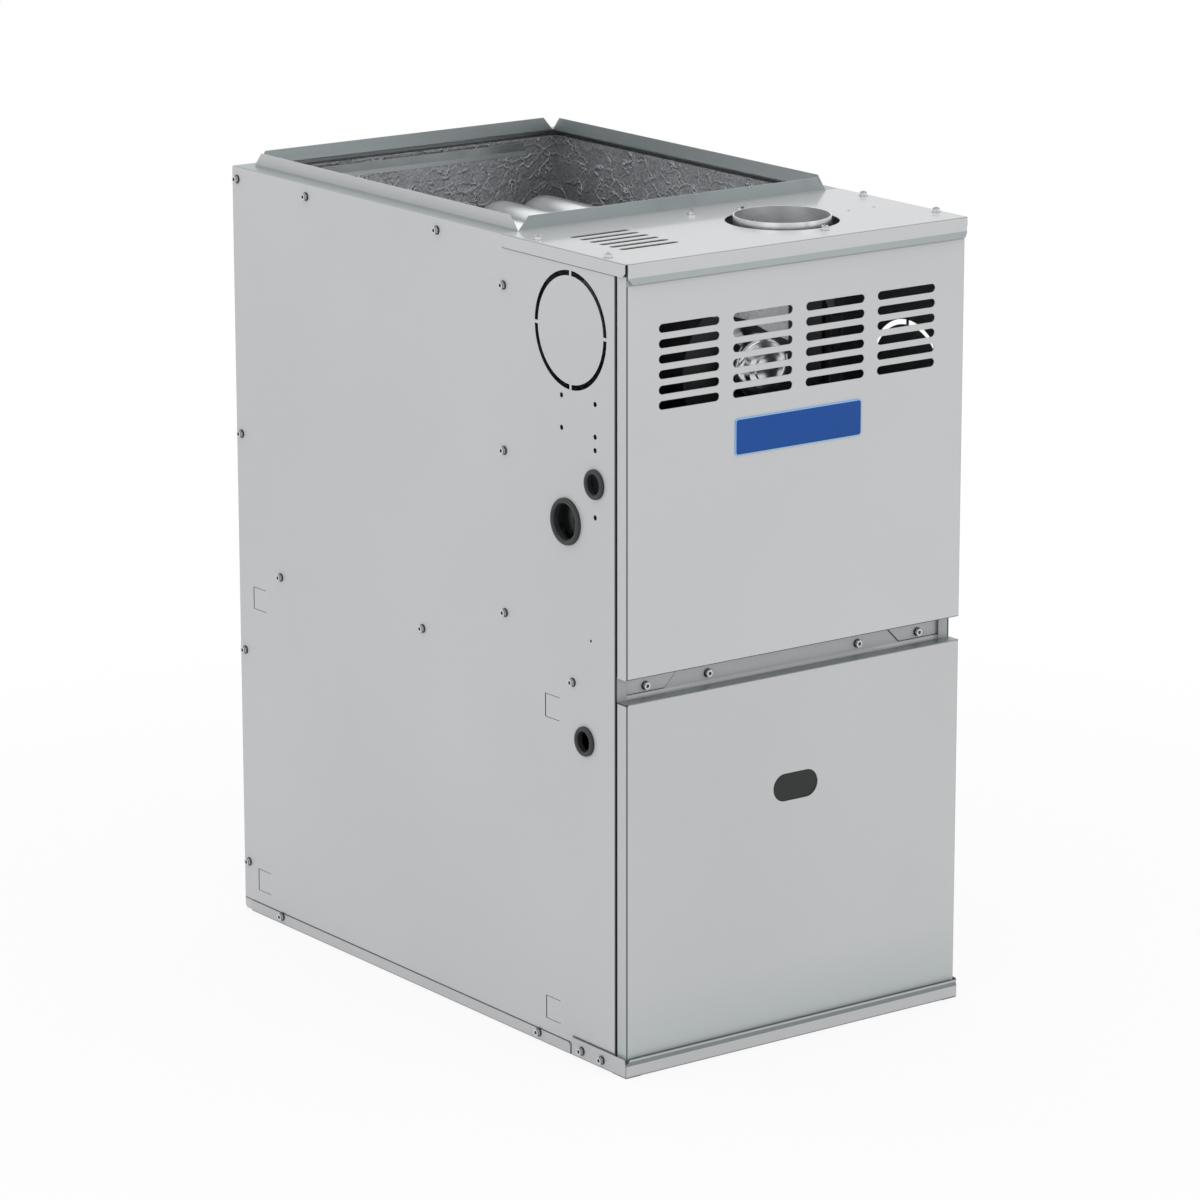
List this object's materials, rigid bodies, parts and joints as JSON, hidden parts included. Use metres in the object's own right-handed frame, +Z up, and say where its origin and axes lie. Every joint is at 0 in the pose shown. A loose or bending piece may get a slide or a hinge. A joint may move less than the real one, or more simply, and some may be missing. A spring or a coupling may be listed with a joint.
{
  "type": "forced air gas furnace",
  "caption": "Upright gas furnace cabinet with blower, serpentine heat exchanger, burners, vent collar, tilting front doors and an open duct flange on top.",
  "frame": {"origin": "centre of the bounding box's footprint, on the floor", "axes": "X to the right seen from the front, Y from the doors to the back, Z up"},
  "size_m": [0.456, 0.7296, 0.8721],
  "materials": {
    "cabinet_paint": "smooth light grey enamel",
    "galvanised_steel": "galvanised sheet steel",
    "foil_liner": "fibre blanket faced with dull foil",
    "tube_steel": "bright stainless steel",
    "burner_steel": "aluminised steel",
    "black_pipe": "black steel pipe",
    "cast_alloy": "die-cast",
    "dark_plastic": "moulded",
    "red_plastic": "moulded",
    "ceramic_white": "bisque",
    "motor_paint": "dark grey enamel",
    "black_rubber": "moulded",
    "screw_steel": "zinc plated",
    "board_green": "circuit board with its parts",
    "core_steel": "varnished steel core",
    "white_plastic": "moulded",
    "window_glass": "dark window",
    "plate_blue": "thin plate enamelled blue"
  },
  "bodies": {
    "cabinet": {"left_side_panel": "cabinet_paint", "right_side_panel": "cabinet_paint", "back_panel": "cabinet_paint", "top_plate": "cabinet_paint", "front_base_rail": "cabinet_paint", "left_base_rail": "cabinet_paint", "right_base_rail": "cabinet_paint", "bottom_panel": "galvanised_steel", "vestibule_panel": "galvanised_steel", "blower_deck": "galvanised_steel", "cross_rail": "galvanised_steel", "corner_brackets": "galvanised_steel", "left_liner": "foil_liner", "right_liner": "foil_liner", "back_liner": "foil_liner", "liner_strip": "galvanised_steel", "exchanger_tube_1": "tube_steel", "exchanger_tube_2": "tube_steel", "exchanger_tube_3": "tube_steel", "exchanger_tube_4": "tube_steel", "exchanger_tube_5": "tube_steel", "exchanger_tube_6": "tube_steel", "collector_box": "galvanised_steel", "burner_box": "galvanised_steel", "burners": "burner_steel", "gas_manifold": "black_pipe", "gas_valve": "cast_alloy", "igniter": "ceramic_white", "flame_sensor": "ceramic_white", "rollout_switches": "dark_plastic", "inducer_housing": "motor_paint", "inducer_motor": "motor_paint", "vent_base": "galvanised_steel", "flue_collar": "galvanised_steel", "pressure_switch": "dark_plastic", "pressure_hose": "black_rubber", "limit_switch": "dark_plastic", "junction_box": "galvanised_steel", "grommets": "black_rubber", "cabinet_screws": "screw_steel", "blower_scroll": "galvanised_steel", "blower_side_left": "galvanised_steel", "blower_side_right": "galvanised_steel", "blower_motor": "motor_paint", "blower_motor_mount": "galvanised_steel", "control_bracket": "galvanised_steel", "control_board": "board_green", "transformer": "core_steel", "door_switch": "white_plastic"},
    "upper_door": {"upper_door": "cabinet_paint", "door_plate": "plate_blue"},
    "lower_door": {"lower_door": "cabinet_paint", "sight_glass": "window_glass"},
    "blower_rotor": {"blower_wheel": "galvanised_steel"},
    "inducer_rotor": {"inducer_wheel": "galvanised_steel", "inducer_fan": "dark_plastic"},
    "switch_plunger": {"door_switch_plunger": "white_plastic"},
    "valve_knob": {"gas_valve_knob": "dark_plastic"},
    "rollout_button_left": {"rollout_button_left": "red_plastic"},
    "rollout_button_right": {"rollout_button_right": "red_plastic"}
  },
  "joints": [
    {"name": "upper_door_tilt", "type": "hinge", "parent": "cabinet", "child": "upper_door", "pos_m": [0, -0.3598, 0.847], "axis": [-1, 0, 0], "range_deg": [0, 12]},
    {"name": "lower_door_tilt", "type": "hinge", "parent": "cabinet", "child": "lower_door", "pos_m": [0, -0.3598, 0.01], "axis": [1, 0, 0], "range_deg": [0, 12]},
    {"name": "blower_spin", "type": "hinge", "parent": "cabinet", "child": "blower_rotor", "pos_m": [0, 0.1012, 0.192], "axis": [1, 0, 0], "continuous": true},
    {"name": "inducer_spin", "type": "hinge", "parent": "cabinet", "child": "inducer_rotor", "pos_m": [-0.024, -0.2608, 0.722], "axis": [0, 1, 0], "continuous": true},
    {"name": "door_switch_slide", "type": "slide", "parent": "cabinet", "child": "switch_plunger", "axis": [0, -1, 0], "range_m": [0, 0.004]},
    {"name": "gas_valve_knob_turn", "type": "hinge", "parent": "cabinet", "child": "valve_knob", "pos_m": [-0.15135, -0.3024, 0.5743], "axis": [0, -1, 0], "range_deg": [0, 90]},
    {"name": "rollout_button_left_press", "type": "slide", "parent": "cabinet", "child": "rollout_button_left", "axis": [0, 0, -1], "range_m": [0, 0.0015], "stiffness_N_per_m": 300, "springref_m": -0.001},
    {"name": "rollout_button_right_press", "type": "slide", "parent": "cabinet", "child": "rollout_button_right", "axis": [0, 0, -1], "range_m": [0, 0.0015], "stiffness_N_per_m": 300, "springref_m": -0.001}
  ],
  "couplings": [
    {"joint": "door_switch_slide", "follows": "lower_door_tilt", "m_per_rad": 0.019}
  ]
}
